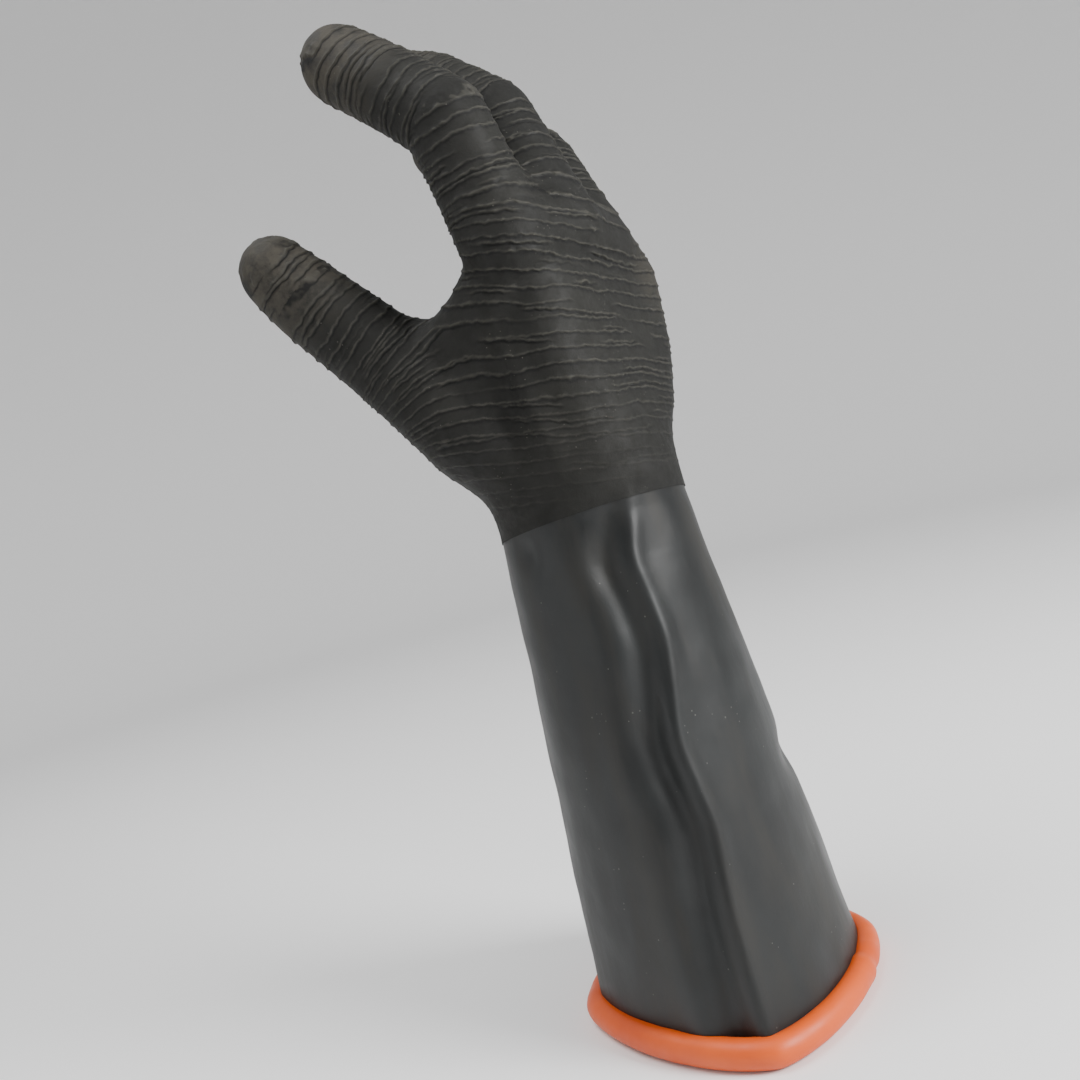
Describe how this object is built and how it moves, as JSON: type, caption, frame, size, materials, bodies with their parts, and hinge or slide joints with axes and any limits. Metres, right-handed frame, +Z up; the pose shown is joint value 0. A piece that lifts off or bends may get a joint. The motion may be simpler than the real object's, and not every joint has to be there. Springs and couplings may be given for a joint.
{
  "type": "electrical insulating glove",
  "caption": "Long-cuffed rubber glove for the right hand: two bonded layers, a ridged grip over the hand, a smooth flared sleeve and a rolled cuff bead.",
  "frame": {"origin": "centre of the cuff opening, on the plane that the rolled bead stands on", "axes": "+Z up the sleeve towards the fingertips, +X towards the back of the hand, -Y towards the thumb"},
  "size_m": [0.1471, 0.147, 0.3823],
  "materials": {
    "grip_coat": "matte black natural rubber with crinkled transverse grip ridges, dusty on the fingertips and knuckles",
    "smooth_sleeve": "smooth semi-gloss black natural rubber with faint mottling and small specks",
    "inner_layer": "smooth matte orange natural rubber",
    "rolled_bead": "satin orange natural rubber, rolled edge"
  },
  "bodies": {
    "gauntlet": {"sleeve_coat": "smooth_sleeve", "sleeve_liner": "inner_layer", "cuff_bead": "rolled_bead"},
    "hand": {"palm_coat": "grip_coat", "palm_liner": "inner_layer"},
    "index_base": {"index_base_coat": "grip_coat", "index_base_liner": "inner_layer"},
    "index_middle": {"index_middle_coat": "grip_coat", "index_middle_liner": "inner_layer"},
    "index_tip": {"index_tip_coat": "grip_coat", "index_tip_liner": "inner_layer"},
    "middle_base": {"middle_base_coat": "grip_coat", "middle_base_liner": "inner_layer"},
    "middle_middle": {"middle_middle_coat": "grip_coat", "middle_middle_liner": "inner_layer"},
    "middle_tip": {"middle_tip_coat": "grip_coat", "middle_tip_liner": "inner_layer"},
    "ring_base": {"ring_base_coat": "grip_coat", "ring_base_liner": "inner_layer"},
    "ring_middle": {"ring_middle_coat": "grip_coat", "ring_middle_liner": "inner_layer"},
    "ring_tip": {"ring_tip_coat": "grip_coat", "ring_tip_liner": "inner_layer"},
    "little_base": {"little_base_coat": "grip_coat", "little_base_liner": "inner_layer"},
    "little_middle": {"little_middle_coat": "grip_coat", "little_middle_liner": "inner_layer"},
    "little_tip": {"little_tip_coat": "grip_coat", "little_tip_liner": "inner_layer"},
    "thumb_base": {"thumb_base_coat": "grip_coat", "thumb_base_liner": "inner_layer"},
    "thumb_tip": {"thumb_tip_coat": "grip_coat", "thumb_tip_liner": "inner_layer"}
  },
  "joints": [
    {"name": "wrist_bend", "type": "hinge", "parent": "gauntlet", "child": "hand", "pos_m": [-0.006, -0.007, 0.19], "axis": [0, -0.9981, 0.0612], "range_deg": [-25, 30], "stiffness_Nm_per_rad": 5},
    {"name": "index_root_bend", "type": "hinge", "parent": "hand", "child": "index_base", "pos_m": [0.00066, -0.03678, 0.3128], "axis": [-0.0036, -0.9994, -0.0347], "range_deg": [-15, 25], "stiffness_Nm_per_rad": 0.6},
    {"name": "index_middle_bend", "type": "hinge", "parent": "index_base", "child": "index_middle", "pos_m": [-0.00466, -0.0375, 0.33413], "axis": [-0.0036, -0.9994, -0.0347], "range_deg": [-25, 40], "stiffness_Nm_per_rad": 0.5},
    {"name": "index_end_bend", "type": "hinge", "parent": "index_middle", "child": "index_tip", "pos_m": [-0.02514, -0.03809, 0.35322], "axis": [-0.0036, -0.9994, -0.0347], "range_deg": [-15.5, 24.5], "stiffness_Nm_per_rad": 0.3},
    {"name": "middle_root_bend", "type": "hinge", "parent": "hand", "child": "middle_base", "pos_m": [0.00101, -0.00598, 0.31312], "axis": [0.0127, -0.9925, 0.1212], "range_deg": [-15, 25], "stiffness_Nm_per_rad": 0.6},
    {"name": "middle_middle_bend", "type": "hinge", "parent": "middle_base", "child": "middle_middle", "pos_m": [-0.00832, -0.00316, 0.33722], "axis": [0.0127, -0.9925, 0.1212], "range_deg": [-25, 40], "stiffness_Nm_per_rad": 0.5},
    {"name": "middle_end_bend", "type": "hinge", "parent": "middle_middle", "child": "middle_tip", "pos_m": [-0.03243, -0.0011, 0.35661], "axis": [0.0127, -0.9925, 0.1212], "range_deg": [-15.5, 24.5], "stiffness_Nm_per_rad": 0.3},
    {"name": "ring_root_bend", "type": "hinge", "parent": "hand", "child": "ring_base", "pos_m": [-0.00471, 0.02299, 0.30485], "axis": [0.0271, -0.9659, 0.2574], "range_deg": [-15, 25], "stiffness_Nm_per_rad": 0.6},
    {"name": "ring_middle_bend", "type": "hinge", "parent": "ring_base", "child": "ring_middle", "pos_m": [-0.01442, 0.02782, 0.32399], "axis": [0.0271, -0.9659, 0.2574], "range_deg": [-25, 40], "stiffness_Nm_per_rad": 0.5},
    {"name": "ring_end_bend", "type": "hinge", "parent": "ring_middle", "child": "ring_tip", "pos_m": [-0.03879, 0.03123, 0.33934], "axis": [0.0271, -0.9659, 0.2574], "range_deg": [-15.5, 24.5], "stiffness_Nm_per_rad": 0.3},
    {"name": "little_root_bend", "type": "hinge", "parent": "hand", "child": "little_base", "pos_m": [-0.01459, 0.04891, 0.29104], "axis": [0.0408, -0.9205, 0.3886], "range_deg": [-15, 25], "stiffness_Nm_per_rad": 0.6},
    {"name": "little_middle_bend", "type": "hinge", "parent": "little_base", "child": "little_middle", "pos_m": [-0.02371, 0.0546, 0.30548], "axis": [0.0408, -0.9205, 0.3886], "range_deg": [-25, 40], "stiffness_Nm_per_rad": 0.5},
    {"name": "little_end_bend", "type": "hinge", "parent": "little_middle", "child": "little_tip", "pos_m": [-0.04303, 0.05795, 0.31547], "axis": [0.0408, -0.9205, 0.3886], "range_deg": [-15.5, 24.5], "stiffness_Nm_per_rad": 0.3},
    {"name": "thumb_root_bend", "type": "hinge", "parent": "hand", "child": "thumb_base", "pos_m": [-0.05238, -0.04473, 0.2636], "axis": [0.5136, -0.858, 0.0007], "range_deg": [-20, 25], "stiffness_Nm_per_rad": 0.8},
    {"name": "thumb_end_bend", "type": "hinge", "parent": "thumb_base", "child": "thumb_tip", "pos_m": [-0.0697, -0.05722, 0.29007], "axis": [0.5557, -0.8309, -0.0303], "range_deg": [-25, 15], "stiffness_Nm_per_rad": 0.5}
  ],
  "couplings": [
    {"joint": "index_end_bend", "follows": "index_middle_bend", "ratio": 0.6},
    {"joint": "middle_end_bend", "follows": "middle_middle_bend", "ratio": 0.6},
    {"joint": "ring_end_bend", "follows": "ring_middle_bend", "ratio": 0.6},
    {"joint": "little_end_bend", "follows": "little_middle_bend", "ratio": 0.6}
  ]
}
